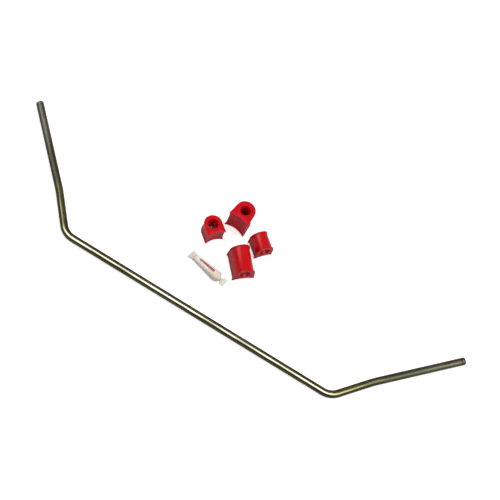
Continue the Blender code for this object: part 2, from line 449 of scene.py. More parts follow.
# %% Corners of the bar
ARM_ROOT = 0.116
ARM_ROOT_ANGLE = math.radians(50.7)
ARM_END = 0.239
ARM_END_ANGLE = math.radians(46.1)
MAIN_RUN = 0.740
MAIN_BEND_RADIUS = 0.045
ARM_BEND_RADIUS = 0.20
END_CHAMFER = 0.0012


def level_direction(angle):
    """A level unit vector, turned by angle from X."""
    return Vector((math.cos(angle), math.sin(angle), 0.0))


def bar_corners():
    """(place, bend radius, girth) from the left tip to the right tip."""
    main_corner = Vector((MAIN_RUN / 2, 0, 0))
    arm_corner = main_corner + ARM_ROOT * level_direction(ARM_ROOT_ANGLE)
    tip = arm_corner + ARM_END * level_direction(ARM_END_ANGLE)
    inner_tip = tip - END_CHAMFER * level_direction(ARM_END_ANGLE)
    half = [(main_corner, MAIN_BEND_RADIUS, 1.0), (arm_corner, ARM_BEND_RADIUS, 1.0),
            (inner_tip, 0.0, 1.0), (tip, 0.0, 1.0 - END_CHAMFER / bar_radius)]
    lift = Vector((0.0, main_run_y, bar_radius))
    right = [(place + lift, bend, girth) for place, bend, girth in half]
    left = [(Vector((-place.x, place.y, place.z)), bend, girth) for place, bend, girth in reversed(right)]
    return left + right


def length_of_rod():
    """The straight lengths between corners, less what the bends cut off them."""
    straight = sum((b[0] - a[0]).length for a, b in zip(corners, corners[1:]))
    bends = ((MAIN_BEND_RADIUS, ARM_ROOT_ANGLE), (ARM_BEND_RADIUS, ARM_ROOT_ANGLE - ARM_END_ANGLE))
    saved = sum(2 * bend * (2 * math.tan(turn / 2) - turn) for bend, turn in bends)
    return straight - saved


corners = bar_corners()
rod_length = length_of_rod()
arm_bend = rod_length / 2 - ARM_END
print(f"{len(corners)} corners, rod length {1000 * rod_length:.1f} mm")


# %% [markdown]
# ### A tree that bends the rod
# A geometry tree rounds each corner by its own radius, sweeps the round section along the line and closes
# the ends. It also stores where each point lies *on the rod*, along it and around it, so that the finish
# can follow the bends. Unwrapping would give coordinates too, but with seams.

# %% Helpers for geometry trees
def named_attribute(tree, name, kind="FLOAT"):
    return add(tree, "GeometryNodeInputNamedAttribute", {"Name": name}, data_type=kind).outputs["Attribute"]


def store_attribute(tree, geometry, name, value, kind="FLOAT"):
    """The geometry, with a value kept on each of its points under this name."""
    inputs = {"Geometry": geometry, "Name": name, "Value": value}
    return add(tree, "GeometryNodeStoreNamedAttribute", inputs, data_type=kind, domain="POINT").outputs[0]


def run_tree(start_mesh, tree, inputs):
    """The plain mesh that a geometry tree makes from start_mesh."""
    carrier = place_in_scene("carrier", start_mesh)
    modifier = carrier.modifiers.new("tree", "NODES")
    modifier.node_group = tree
    # The modifier knows its inputs by the sockets' identifiers, not by their names.
    for item in tree.interface.items_tree:
        if item.item_type == "SOCKET" and item.in_out == "INPUT" and item.name in inputs:
            modifier[item.identifier] = inputs[item.name]
    graph = bpy.context.evaluated_depsgraph_get()
    mesh = bpy.data.meshes.new_from_object(carrier.evaluated_get(graph), depsgraph=graph)
    bpy.data.objects.remove(carrier)
    return mesh


print("geometry helpers ready")


# %% Geometry tree that bends and sweeps the rod
MERGE_WITHIN = 1e-6


def swept_rod(tree, given):
    """The line with rounded corners, and the round section swept along it."""
    line = add(tree, "GeometryNodeMeshToCurve", {"Mesh": given["Geometry"]}).outputs[0]
    bent = add(tree, "GeometryNodeFilletCurve", {
        "Curve": line, "Count": given["Steps per bend"], "Radius": named_attribute(tree, "bend_radius")},
        mode="POLY").outputs[0]
    upright = add(tree, "GeometryNodeSetCurveNormal", {"Curve": bent}, mode="Z_UP").outputs[0]
    girth = named_attribute(tree, "girth")
    centre = add(tree, "GeometryNodeSetCurveRadius", {"Curve": upright, "Radius": girth}).outputs[0]
    travelled = add(tree, "GeometryNodeSplineParameter").outputs["Length"]
    centre = store_attribute(tree, centre, "along", travelled)
    circle = add(tree, "GeometryNodeCurvePrimitiveCircle", {
        "Resolution": given["Sides"], "Radius": given["Radius"]}, mode="RADIUS").outputs["Curve"]
    round_place = add(tree, "GeometryNodeInputPosition").outputs[0]
    section = store_attribute(tree, circle, "around", round_place, "FLOAT_VECTOR")
    swept = add(tree, "GeometryNodeCurveToMesh", {
        "Curve": centre, "Profile Curve": section, "Scale": girth, "Fill Caps": True}).outputs[0]
    return add(tree, "GeometryNodeMergeByDistance", {"Geometry": swept, "Distance": MERGE_WITHIN}).outputs[0]


rod_tree = bpy.data.node_groups.new("Bent rod", "GeometryNodeTree")
inputs = {"Geometry": "Geometry", "Radius": "Float", "Steps per bend": "Int", "Sides": "Int",
          "Finish": "Material"}
for title, kind in inputs.items():
    rod_tree.interface.new_socket(title, in_out="INPUT", socket_type="NodeSocket" + kind)
rod_tree.interface.new_socket("Geometry", in_out="OUTPUT", socket_type="NodeSocketGeometry")
given = rod_tree.nodes.new("NodeGroupInput").outputs
result = rod_tree.nodes.new("NodeGroupOutput").inputs
rod = swept_rod(rod_tree, given)
around = add(rod_tree, "ShaderNodeSeparateXYZ", {0: named_attribute(rod_tree, "around", "FLOAT_VECTOR")})
place = add(rod_tree, "ShaderNodeCombineXYZ", {
    "X": named_attribute(rod_tree, "along"), "Y": times(rod_tree, around.outputs["X"], -1.0),
    "Z": around.outputs["Y"]}).outputs[0]
rod = store_attribute(rod_tree, rod, "rod_place", place, "FLOAT_VECTOR")
rod = add(rod_tree, "GeometryNodeRealizeInstances", {"Geometry": rod}).outputs[0]
rod = add(rod_tree, "GeometryNodeSetMaterial", {"Geometry": rod, "Material": given["Finish"]}).outputs[0]
join(rod_tree, rod, result["Geometry"])
print(f"geometry tree: {rod_tree.name}, {len(rod_tree.nodes)} nodes")


# %% [markdown]
# ## The bar's finish: yellow zinc on bright steel
# Yellow passivate is a thin film, so its colour shifts with its thickness. Where the rod was polished it is
# straw and gold, and round the rod its bands are painted light: the bright straw band over the top is a
# painted highlight, and the darker olive flank and bronze flank are painted reflections of a dim room. The
# outer part of each arm is duller, from green to a brownish purple, darker on one flank as painted shade,
# and pales towards the tip as a painted highlight; the tip has a dark rim and a dark ring. A thin-film shader
# would give the shifts too, but it wouldn't survive export, so they are painted as bands that follow the
# rod's own coordinates, broken up by drawn streaks.

# %% Colours of the film, and of its painted highlight and reflections
# Straw is a painted highlight over the top of the rod; olive and bronze darken its flanks as painted
# reflections.
OLIVE_FLANK_PAINTED_REFLECTION = (0.105, 0.112, 0.070)
STRAW_PAINTED_HIGHLIGHT = (0.72, 0.69, 0.53)
BRONZE_FLANK_PAINTED_REFLECTION = (0.125, 0.082, 0.032)
GOLDEN = (1.0, 0.96, 0.70)
DARK_MARK = (0.045, 0.040, 0.025)

# Bands run from one flank at 0, over the top at 0.5, to the other flank at 1.
# The polished bands are painted light: a straw highlight on top, and olive and bronze painted reflections.
POLISHED_PAINTED_LIGHT_BANDS = [(0.0, OLIVE_FLANK_PAINTED_REFLECTION), (0.22, (0.17, 0.165, 0.085)), (0.42, STRAW_PAINTED_HIGHLIGHT), (0.54, STRAW_PAINTED_HIGHLIGHT),
                  (0.64, (0.56, 0.50, 0.28)), (0.77, (0.190, 0.140, 0.055)), (1.0, BRONZE_FLANK_PAINTED_REFLECTION)]
# The dull bands hold the film's green and purple tints, and are darker on one flank as painted shade.
DULL_BANDS = [(0.0, (0.085, 0.120, 0.040)), (0.35, (0.19, 0.20, 0.12)), (0.6, (0.21, 0.19, 0.14)),
              (1.0, (0.24, 0.16, 0.13))]
# The pale bands, which the tips fade to, are a painted highlight, lightest over the top.
PALE_PAINTED_HIGHLIGHT_BANDS = [(0.0, (0.13, 0.16, 0.075)), (0.35, (0.38, 0.38, 0.31)), (0.6, (0.38, 0.35, 0.31)),
              (1.0, (0.29, 0.19, 0.18))]
# These don't follow the flanks: they drift over the dull part as clouds.
DULL_CLOUDS = [(0.0, (0.105, 0.130, 0.065)), (0.4, (0.16, 0.165, 0.095)), (0.7, (0.19, 0.18, 0.125)),
               (1.0, (0.15, 0.110, 0.105))]
print(f"{len(POLISHED_PAINTED_LIGHT_BANDS)} polished and {len(DULL_BANDS)} dull bands")


# %% Film and painted light on each part of the rod
GOLDEN_FADE = 0.03
BAND_SHARE = 0.55
# The paling towards each tip is a painted highlight, weaker on the right arm.
PALING = 0.85
PALING_FROM = 0.08
PALING_TO = 0.17
PALING_ON_RIGHT = 0.45
RIM_FADE = (0.0022, 0.0042)
RING_FROM_END = 0.0098
RING_FADE = (0.0008, 0.0024)


def polished_film_and_painted_light(tree, turned, streaks, from_middle):
    """Bands with a painted highlight over the top and painted reflections on the flanks, broken up by
    streaks, more golden on the arms than on the main run.
    """
    tone = grey(tree, map_range(tree, streaks, 0.30, 0.70, 0.80, 1.15))
    drawn = blend(tree, 1.0, ramp(tree, turned, POLISHED_PAINTED_LIGHT_BANDS), tone, "MULTIPLY")
    corner = MAIN_RUN / 2
    on_arm = map_range(tree, from_middle, corner - GOLDEN_FADE, corner + GOLDEN_FADE, smooth=True)
    return blend(tree, on_arm, drawn, GOLDEN, "MULTIPLY")


def dull_film_and_painted_light(tree, turned, tints, along, from_middle):
    """Darker bands and clouds, with painted shade on one flank, which pale towards the tips as a
    painted highlight, and less so on the right.
    """
    dull = blend(tree, BAND_SHARE, ramp(tree, tints, DULL_CLOUDS), ramp(tree, turned, DULL_BANDS))
    painted_tip_highlight = map_range(
        tree, from_middle, arm_bend + PALING_FROM, arm_bend + PALING_TO, 0.0, PALING, smooth=True)
    weaker = map_range(tree, along, 0.2 * rod_length, 0.8 * rod_length, 1.0, PALING_ON_RIGHT)
    return blend(tree, times(tree, painted_tip_highlight, weaker), dull, ramp(tree, turned, PALE_PAINTED_HIGHLIGHT_BANDS))


def end_marks(tree, along, from_middle):
    """How dark the rim of each end is, and the ring near it, which is fainter on the left."""
    from_end = math_node(tree, "SUBTRACT", rod_length / 2, from_middle)
    rim = map_range(tree, from_end, *RIM_FADE, 0.88, 0.0, smooth=True)
    from_ring = apart(tree, from_end, RING_FROM_END)
    ring = map_range(tree, from_ring, *RING_FADE, 0.8, 0.0, smooth=True)
    ring = times(tree, ring, map_range(tree, along, 0.0, rod_length, 0.35, 1.0))
    return math_node(tree, "MAXIMUM", rim, ring)


print("film helpers ready")


# %% The whole finish
DULL_FADE = 0.035
STREAK_DEPTH = 0.00004

zinc_finish, tree, shader = new_material("yellow_zinc_steel")
place, (along, side, _) = own_coordinates(tree, "rod_place")
# Slow clouds push the bands to and fro round the rod.
cloud = use_group(tree, cloudiness, Place=place, Stretch=(0.35, 2.0, 2.0), Size=0.022, Sharpness=0.55)
wander = map_range(tree, cloud, 0.0, 1.0, -0.09, 0.09)
turned = plus(tree, map_range(tree, side, -bar_radius, bar_radius), wander)
streaks = use_group(
    tree, fine_grain, Place=place, Stretch=(0.03, 1.0, 1.0), Size=0.0016, Roughness=0.62)
tints = use_group(tree, cloudiness, Place=place, Stretch=(0.5, 1.0, 1.0), Size=0.030, Sharpness=0.8)

from_middle = apart(tree, along, rod_length / 2)
dull = map_range(tree, from_middle, arm_bend - DULL_FADE, arm_bend + DULL_FADE, smooth=True)
# Both parts carry painted light: highlights over the top, and painted reflections or shade on the flanks.
polished_part = polished_film_and_painted_light(tree, turned, streaks, from_middle)
outer_part = dull_film_and_painted_light(tree, turned, tints, along, from_middle)
colour = blend(tree, dull, polished_part, outer_part)
colour = blend(tree, end_marks(tree, along, from_middle), colour, DARK_MARK)
shader.inputs["Metallic"].default_value = 1.0
polish = map_range(tree, streaks, 0.25, 0.75, 0.17, 0.26)
matt = map_range(tree, tints, 0.0, 1.0, 0.40, 0.50)
roughness = add(tree, "ShaderNodeMix", {0: dull, 2: polish, 3: matt}).outputs[0]
set_surface(tree, shader, colour, roughness, streaks, STREAK_DEPTH)
print("finish:", zinc_finish.name)


# %% Make the bar
SIDES_OF_ROD = 96
STEPS_PER_BEND = 24
ROD_SHARP_ANGLE = math.radians(30)

line = bpy.data.meshes.new("bar_line")
line.from_pydata([corner[0] for corner in corners], [(i, i + 1) for i in range(len(corners) - 1)], [])
for column, name in ((1, "bend_radius"), (2, "girth")):
    attribute = line.attributes.new(name, "FLOAT", "POINT")
    attribute.data.foreach_set("value", [corner[column] for corner in corners])
mesh = run_tree(line, rod_tree, {
    "Radius": bar_radius, "Steps per bend": STEPS_PER_BEND, "Sides": SIDES_OF_ROD,
    "Finish": zinc_finish})
mesh.shade_smooth()
mesh.set_sharp_from_angle(angle=ROD_SHARP_ANGLE)
add_piece("sway_bar_rod", mesh, None, "bar", "sway_bar")


# %% [markdown]
# ## The bushings
# All four are one kind of moulding: a D-shaped body round a bore, with a concave saddle under it and a
# thin flange at each end. A bore could be cut out of a block, but one closed skin is cleaner. The D
# outline is swept along the bore as rings that swell at the flanges and round over at every edge; then
# the same ring dives through the flared mouth and comes back along the bore. Every point remembers its
# place in the mould, so that a standing and a lying bushing wear the same finish.

# %% Bushing sizes and places
LIP_HEIGHT = 0.0021
LIP_THICKNESS = 0.0034
LIP_ROUND = 0.0007
LIP_BACK_ROUND = 0.0004
LIP_FILLET = 0.0009
TOE_RADIUS = 0.0012
BORE_RADIUS = 0.0097
MOUTH_RADIUS = 0.0131
MOUTH_DEPTH = 0.0090
MOUTH_ROUND = 0.0006
FLARE_DIP = 0.0003
THROAT = 0.0020
LARGE = {"length": 0.069, "crown": 0.0231, "half_width": 0.0260, "depth": 0.0288, "rise": 0.0070}
SMALL = {"length": 0.0465, "crown": 0.0208, "half_width": 0.0212, "depth": 0.0270, "rise": 0.0052}

# X, Y from the main run's line, and a turn: the way a standing saddle faces, or a lying bore points.
BUSHINGS = (
    ("large_bushing_standing", "large_standing", LARGE, (-0.0340, 0.2735, -95.0), True),
    ("large_bushing_lying", "large_lying", LARGE, (0.0237, 0.1703, -49.0), False),
    ("small_bushing_standing", "small_standing", SMALL, SMALL_STANDING_PLACE, True),
    ("small_bushing_lying", "small_lying", SMALL, (0.0400, 0.2385, -40.5), False),
)
print(f"{len(BUSHINGS)} bushings, with a bore of {2000 * BORE_RADIUS:.1f} mm")


# %% Outline of a bushing
CROWN_STEPS = 72
FLANK_STEPS = 12
TOE_STEPS = 6
SADDLE_STEPS = 30


def arc(centre, radius, start, end, steps):
    """Points on a 2D arc from angle start to angle end, in degrees, both ends included."""
    angles = (math.radians(start + (end - start) * i / steps) for i in range(steps + 1))
    return [(centre[0] + radius * math.cos(a), centre[1] + radius * math.sin(a)) for a in angles]


def between(first, last, steps):
    """The points that divide a straight line, without its ends."""
    return [tuple(a + (b - a) * i / steps for a, b in zip(first, last)) for i in range(1, steps)]


def bushing_outline(size, proud):
    """The D about the bore's centre, grown by proud: its points, and which lie on the saddle."""
    crown = size["crown"] + proud
    toe_u = size["half_width"] + proud - TOE_RADIUS
    toe_v = -size["depth"] - proud + TOE_RADIUS
    toe_turn = math.atan2(toe_v, toe_u)
    flank = math.degrees(toe_turn + math.acos((crown - TOE_RADIUS) / math.hypot(toe_u, toe_v)))
    saddle_radius = (toe_u**2 + size["rise"] ** 2) / (2 * size["rise"])
    saddle_centre = (0, toe_v - TOE_RADIUS + size["rise"] - saddle_radius)
    saddle_half = math.degrees(math.asin(toe_u / saddle_radius))
    crown_arc = arc((0, 0), crown, flank, 180 - flank, CROWN_STEPS)
    left_toe = arc((-toe_u, toe_v), TOE_RADIUS, 180 - flank, 270, TOE_STEPS)
    saddle = arc(saddle_centre, saddle_radius, 90 + saddle_half, 90 - saddle_half, SADDLE_STEPS)[1:-1]
    right_toe = arc((toe_u, toe_v), TOE_RADIUS, -90, flank, TOE_STEPS)
    before = crown_arc + between(crown_arc[-1], left_toe[0], FLANK_STEPS) + left_toe
    after = right_toe + between(right_toe[-1], crown_arc[0], FLANK_STEPS)
    on_saddle = [False] * len(before) + [True] * len(saddle) + [False] * len(after)
    return before + saddle + after, on_saddle


print(f"outline of a bushing: {len(bushing_outline(LARGE, 0.0)[0])} points")


# %% Rings of a bushing
EDGE_STEPS = 4


def skin_profile(half):
    """(distance along the bore, proud) over one flange, from its end face to the body."""
    lip_end = half - LIP_THICKNESS
    front = arc((half - LIP_ROUND, LIP_HEIGHT - LIP_ROUND), LIP_ROUND, 0, 90, EDGE_STEPS)
    back = arc((lip_end + LIP_BACK_ROUND, LIP_HEIGHT - LIP_BACK_ROUND), LIP_BACK_ROUND, 90, 180, EDGE_STEPS)
    fillet = arc((lip_end - LIP_FILLET, LIP_FILLET), LIP_FILLET, 0, 90, EDGE_STEPS)
    return front + back + [(along, 2 * LIP_FILLET - proud) for along, proud in fillet]


def bore_profile(half):
    """(distance along the bore, radius) from the end face through the flared mouth to the bore."""
    rounding = arc((half - MOUTH_ROUND, MOUTH_RADIUS + MOUTH_ROUND), MOUTH_ROUND, 0, -90, EDGE_STEPS)
    halfway = (half - 0.5 * MOUTH_DEPTH, (MOUTH_RADIUS + BORE_RADIUS) / 2 - FLARE_DIP)
    throat = [(half - MOUTH_DEPTH, BORE_RADIUS), (half - MOUTH_DEPTH - THROAT, BORE_RADIUS)]
    return rounding + [halfway] + throat


def bushing_rings(size):
    """Closed rings of (u, v, w) points, once over the skin and back through the bore."""
    half = size["length"] / 2
    skin = skin_profile(half)
    bore = bore_profile(half)
    skin = skin + [(0.0, 0.0)] + [(-along, proud) for along, proud in reversed(skin)]
    bore = [(-along, radius) for along, radius in bore] + list(reversed(bore))
    base = [Vector(point).normalized() for point in bushing_outline(size, 0.0)[0]]
    rings = [[(u, v, along) for u, v in bushing_outline(size, proud)[0]] for along, proud in skin]
    rings += [[(ray.x * radius, ray.y * radius, along) for ray in base] for along, radius in bore]
    return rings


print(f"a large bushing has {len(bushing_rings(LARGE))} rings")


# %% Skin of one bushing, in its place
SADDLE_CLEAR_OF_BORE = 0.002
END_FACE_TOLERANCE = 0.00005


def bushing_mesh(size, place, standing):
    """One bushing's closed skin, whose points know their place in the mould and the face they are on."""
    x, y, turn = place
    along = level_direction(math.radians(turn))
    across = Vector((-along.y, along.x, 0))
    up = Vector((0, 0, 1))
    axes = (across, -along, up) if standing else (across, up, along)
    half = size["length"] / 2
    centre = Vector((x, main_run_y + y, half if standing else size["depth"] + LIP_HEIGHT))
    on_saddle = bushing_outline(size, 0.0)[1]
    shape = bmesh.new()
    mould = shape.verts.layers.float_vector.new("mould_place")
    saddle = shape.verts.layers.float.new("saddle")
    end_face = shape.verts.layers.float.new("end_face")
    loops = []
    for ring in bushing_rings(size):
        loop = []
        for point, flag in zip(ring, on_saddle):
            from_bore = math.hypot(point[0], point[1])
            vertex = shape.verts.new(centre + sum((a * p for a, p in zip(axes, point)), Vector()))
            vertex[mould] = point
            vertex[saddle] = float(flag and from_bore > MOUTH_RADIUS + SADDLE_CLEAR_OF_BORE)
            vertex[end_face] = float(abs(point[2]) > half - END_FACE_TOLERANCE)
            loop.append(vertex)
        loops.append(loop)
    add_loops(shape, loops + loops[:1])
    return mesh_from_bmesh(shape, 40.0)


print("bushing skin ready")


# %% [markdown]
# ### Red urethane
# Cast urethane is a deep, slightly waxy plastic. Its colour drifts with the mix, its skin has the faint
# orange peel of the mould, the saddle keeps the tool's lengthwise marks, and a thin parting line runs
# along both flanks. Handling leaves dull patches and specks of dust. An image texture could carry this,
# but it would need a layout for each face; the mould's coordinates need none.

# %% Colour of the urethane
RED = (0.455, 0.0, 0.003)
DRIFTED_RED = (0.50, 0.0, 0.006)
# The saddle gets a lighter red, painted light that lifts a face lying in shade.
SADDLE_PAINTED_LIGHT_RED = (0.62, 0.0, 0.022)
DUST_ON_RED = (0.50, 0.22, 0.21)


def tool_marks(tree, place, saddle):
    """Lengthwise marks in the saddle, as a height on both sides of 0."""
    marks = use_group(tree, fine_grain, Place=place, Stretch=(1.0, 1.0, 0.02), Size=0.0012, Roughness=0.5)
    return times(tree, math_node(tree, "SUBTRACT", marks, 0.5), saddle)


def urethane_colour(tree, place, saddle, marks, specks):
    drift = use_group(tree, cloudiness, Place=place, Size=0.018, Sharpness=0.4)
    colour = blend(tree, drift, RED, DRIFTED_RED)
    # Lighter red on the saddle: painted light for a face in shade.
    colour = blend(tree, times(tree, saddle, 0.6), colour, SADDLE_PAINTED_LIGHT_RED)
    tone = map_range(tree, marks, -0.2, 0.2, 0.82, 1.18)
    colour = blend(tree, 1.0, colour, grey(tree, tone), "MULTIPLY")
    return blend(tree, times(tree, specks, 0.20), colour, DUST_ON_RED)


print("urethane colour ready")


# %% Gloss and relief of the urethane
PARTING_HEIGHT = -0.004
PARTING_FADE = (0.00012, 0.00030)


def urethane_roughness(tree, place, saddle, end_face, specks):
    """Uneven from handling, and rougher in the saddle, on the trimmed end faces and under dust."""
    handling = use_group(tree, cloudiness, Place=place, Size=0.009, Sharpness=0.7)
    roughness = map_range(tree, handling, 0.0, 1.0, 0.16, 0.27)
    for part, more in ((saddle, 0.10), (end_face, 0.04), (specks, 0.3)):
        roughness = plus(tree, roughness, times(tree, part, more))
    return roughness


def urethane_relief(tree, place, height_in_mould, marks):
    """Orange peel, the parting line and the tool's marks, as one height."""
    peel = use_group(tree, fine_grain, Place=place, Size=0.0022, Roughness=0.35)
    from_line = apart(tree, height_in_mould, PARTING_HEIGHT)
    parting = map_range(tree, from_line, *PARTING_FADE, 1.0, 0.0)
    relief = plus(tree, times(tree, peel, 0.35), times(tree, parting, 0.6))
    return plus(tree, relief, times(tree, marks, 1.6))


print("urethane gloss and relief ready")


# %% The whole urethane, and the four bushings
RELIEF_DEPTH = 0.00009
END_COAT = 0.0
SKIN_COAT = 0.35

urethane, tree, shader = new_material("red_urethane")
place, parts = own_coordinates(tree, "mould_place")
saddle = add(tree, "ShaderNodeAttribute", attribute_name="saddle").outputs["Fac"]
end_face = add(tree, "ShaderNodeAttribute", attribute_name="end_face").outputs["Fac"]
marks = tool_marks(tree, place, saddle)
specks = use_group(tree, dust, Place=place, Spacing=0.0042, Cleanness=0.72)
colour = urethane_colour(tree, place, saddle, marks, specks)
roughness = urethane_roughness(tree, place, saddle, end_face, specks)
relief = urethane_relief(tree, place, parts["Y"], marks)
set_surface(tree, shader, colour, roughness, relief, RELIEF_DEPTH)
coat = map_range(tree, end_face, 0.0, 1.0, SKIN_COAT, END_COAT)
join(tree, coat, shader.inputs["Coat Weight"])
shader.inputs["Coat Roughness"].default_value = 0.10
shader.inputs["Specular IOR Level"].default_value = 0.24
for node, body, size, place, standing in BUSHINGS:
    skin = bushing_mesh(size, place, standing)
    add_piece(node + "_moulding", skin, urethane, body, node)


# %% [markdown]
# ## The ampoule of grease
# A blown plastic tube: crimped flat at the tail, round over the belly, drawn in at the shoulders to a
# nozzle that a flat tab closes. Sculpting would do, but a list of stations keeps it true to size: each
# has a width, a thickness and how square its section is. A straight loft between them would show corners,
# so each quantity is run through a monotone cubic, which is smooth and never overshoots.

# %% Stations of the ampoule
# (distance from the tail, width, thickness, squareness of the section)
SHELL_STATIONS = (
    (0.0000, 0.0254, 0.0024, 3.0), (0.0026, 0.0252, 0.0030, 3.0), (0.0084, 0.0200, 0.0056, 2.6),
    (0.0140, 0.0190, 0.0098, 2.2), (0.0270, 0.0204, 0.0130, 2.0), (0.0480, 0.0236, 0.0158, 2.0),
    (0.0680, 0.0266, 0.0180, 2.0), (0.0820, 0.0288, 0.0192, 2.0), (0.0880, 0.0282, 0.0186, 2.0),
    (0.0926, 0.0212, 0.0150, 2.0), (0.0956, 0.0124, 0.0106, 2.0), (0.0984, 0.0098, 0.0098, 2.0),
)
TAB_STATIONS = (
    (0.0988, 0.0094, 0.0094, 2.0), (0.1002, 0.0108, 0.0070, 2.2), (0.1016, 0.0176, 0.0034, 3.4),
    (0.1028, 0.0192, 0.0030, 4.0), (0.1122, 0.0196, 0.0030, 4.0), (0.1134, 0.0182, 0.0022, 4.0),
)
SHELL_END = SHELL_STATIONS[-1][0]
TAB_END = TAB_STATIONS[-1][0]


def held(value):
    """value, held between 0 and 1."""
    return min(1.0, max(0.0, value))


def smooth_at(stations, x):
    """The station at x, by a cubic that is monotone between stations."""
    i = max(0, min(len(stations) - 2, sum(1 for s in stations if s[0] <= x) - 1))
    step = stations[i + 1][0] - stations[i][0]
    t = held((x - stations[i][0]) / step)

    def slope(k, field):
        if k in (0, len(stations) - 1):
            return 0.0
        back, here, on = stations[k - 1:k + 2]
        before = (here[field] - back[field]) / (here[0] - back[0])
        after = (on[field] - here[field]) / (on[0] - here[0])
        return 0.0 if before * after <= 0 else 2 * before * after / (before + after)

    found = [x]
    for field in (1, 2, 3):
        a, b = stations[i][field], stations[i + 1][field]
        m, n = slope(i, field) * step, slope(i + 1, field) * step
        found.append((2 * t**3 - 3 * t**2 + 1) * a + (t**3 - 2 * t**2 + t) * m
                     + (3 * t**2 - 2 * t**3) * b + (t**3 - t**2) * n)
    return tuple(found)


print(f"ampoule: {1000 * TAB_END:.1f} mm long, shell {1000 * SHELL_END:.1f} mm")


# %% Where the ampoule lies
AMPOULE_PLACE = (-0.0384, 0.1165, math.radians(-13.5))


def ampoule_posture():
    """From the ampoule's own axes to the bench, with its tail and its belly both touching."""
    belly = max(SHELL_STATIONS, key=lambda station: station[2])
    tilt = math.asin((belly[2] - SHELL_STATIONS[0][2]) / 2 / belly[0])
    lowest = min(s[0] * math.sin(tilt) - s[2] / 2 * math.cos(tilt) for s in SHELL_STATIONS)
    x, y, turn = AMPOULE_PLACE
    middle = TAB_END / 2
    tail = Vector((x - middle * math.cos(turn), main_run_y + y - middle * math.sin(turn), -lowest))
    return Matrix.Translation(tail) @ Matrix.Rotation(turn, 4, "Z") @ Matrix.Rotation(-tilt, 4, "Y")


posture = ampoule_posture()
print("tail of the ampoule at", [round(1000 * v, 1) for v in posture.translation], "mm")


# %% Sections and lofts
SECTION_SIDES = 72


def section_ring(station, shrink=0.0):
    """A superellipse ring across X at one station, smaller by shrink on every side."""
    x, width, thickness, squareness = station
    ring = []
    for i in range(SECTION_SIDES):
        angle = 2 * math.pi * i / SECTION_SIDES
        c, s = math.cos(angle), math.sin(angle)
        across = math.copysign(abs(c) ** (2 / squareness), c) * (width / 2 - shrink)
        up = math.copysign(abs(s) ** (2 / squareness), s) * (thickness / 2 - shrink)
        ring.append(Vector((x, across, up)))
    return ring


def spaced(start, end, count):
    return [start + (end - start) * i / count for i in range(count + 1)]


def loft(rings, sharp_angle=42.0):
    """A closed body through rings of equal counts, each point remembering its place in the ampoule."""
    shape = bmesh.new()
    own = shape.verts.layers.float_vector.new("own_place")
    loops = []
    for ring in rings:
        loop = [shape.verts.new(posture @ point) for point in ring]
        for vertex, point in zip(loop, ring):
            vertex[own] = point
        loops.append(loop)
    add_loops(shape, loops)
    shape.faces.new(loops[0])
    shape.faces.new(loops[-1])
    return mesh_from_bmesh(shape, sharp_angle)


print("lofting ready")


# %% [markdown]
# ### Finishes of the ampoule
# The shell is thin, milky plastic: it lets light through, and looks darker and denser where we see it
# edge-on. Down one side it is painted warmer in tone and denser, a painted shade; the solid tail is beige
# and the tab faintly green. Refraction would be slower to render, so the shell is drawn with transparency
# alone.

# %% Clear plastic
EDGE_ON = [(0.0, (0.86, 0.85, 0.81)), (0.45, (0.74, 0.70, 0.63)), (0.85, (0.46, 0.42, 0.35))]
FLOW_TINT = (0.50, 0.48, 0.41)
# Painted shade down one side of the shell, warmer in tone.
SHADED_SIDE_PAINTED_TINT = (0.74, 0.62, 0.53)
TAIL_BEIGE = (0.66, 0.58, 0.48)
TAB_GREEN = (0.60, 0.63, 0.52)
# In radians per metre, which is a ridge every 1.5 mm.
CRIMP_RIDGES = 4200.0
PLASTIC_RELIEF = 0.00012


def plastic_relief(tree, place, along):
    """The crimp's ridges over the tail, and slow ripples everywhere."""
    crimp = math_node(tree, "SINE", times(tree, along, CRIMP_RIDGES))
    crimped = times(tree, crimp, map_range(tree, along, 0.0078, 0.0088, 0.5, 0.0))
    ripple = use_group(tree, fine_grain, Place=place, Stretch=(0.3, 1.0, 1.0), Size=0.004, Roughness=0.4)
    return plus(tree, crimped, times(tree, ripple, 0.6))


clear_plastic, tree, shader = new_material("milky_plastic")
place, (along, across, _) = own_coordinates(tree, "own_place")
edge = add(tree, "ShaderNodeLayerWeight", {"Blend": 0.42}).outputs["Facing"]
flow = use_group(tree, cloudiness, Place=place, Stretch=(0.4, 1.0, 1.0), Size=0.006, Sharpness=0.5)
# Down one side the shell is tinted and made denser: a painted shade.
painted_shade_side = map_range(tree, across, -0.0030, -0.0080, 0.0, 0.75, smooth=True)
tail = map_range(tree, along, 0.019, 0.010)
tab = map_range(tree, along, 0.0965, 0.1000)

colour = blend(tree, times(tree, flow, 0.30), ramp(tree, edge, EDGE_ON), FLOW_TINT)
colour = blend(tree, painted_shade_side, colour, SHADED_SIDE_PAINTED_TINT)
colour = blend(tree, times(tree, tail, 0.75), colour, TAIL_BEIGE)
colour = blend(tree, times(tree, tab, 0.75), colour, TAB_GREEN)

density = map_range(tree, edge, 0.12, 0.75, 0.14, 0.96)
density = plus(tree, density, times(tree, plus(tree, tail, tab), 0.38))
density = plus(tree, density, times(tree, painted_shade_side, 0.30), clamp=True)
join(tree, density, shader.inputs["Alpha"])
roughness = map_range(tree, flow, 0.0, 1.0, 0.14, 0.30)
set_surface(tree, shader, colour, roughness, plastic_relief(tree, place, along), PLASTIC_RELIEF)
print("finish:", clear_plastic.name)


# %% [markdown]
# ### Grease and ink
# The grease behind the shell is a soft cream that turns to peach near the shoulders. A printed bar of red
# ink lies on the belly, worn through in places; it stands for the maker's print and carries no words.
# Both could be painted on the shell, but as pieces of their own they keep their depth.

# %% Grease
SWIRL_DEPTH = 0.0003

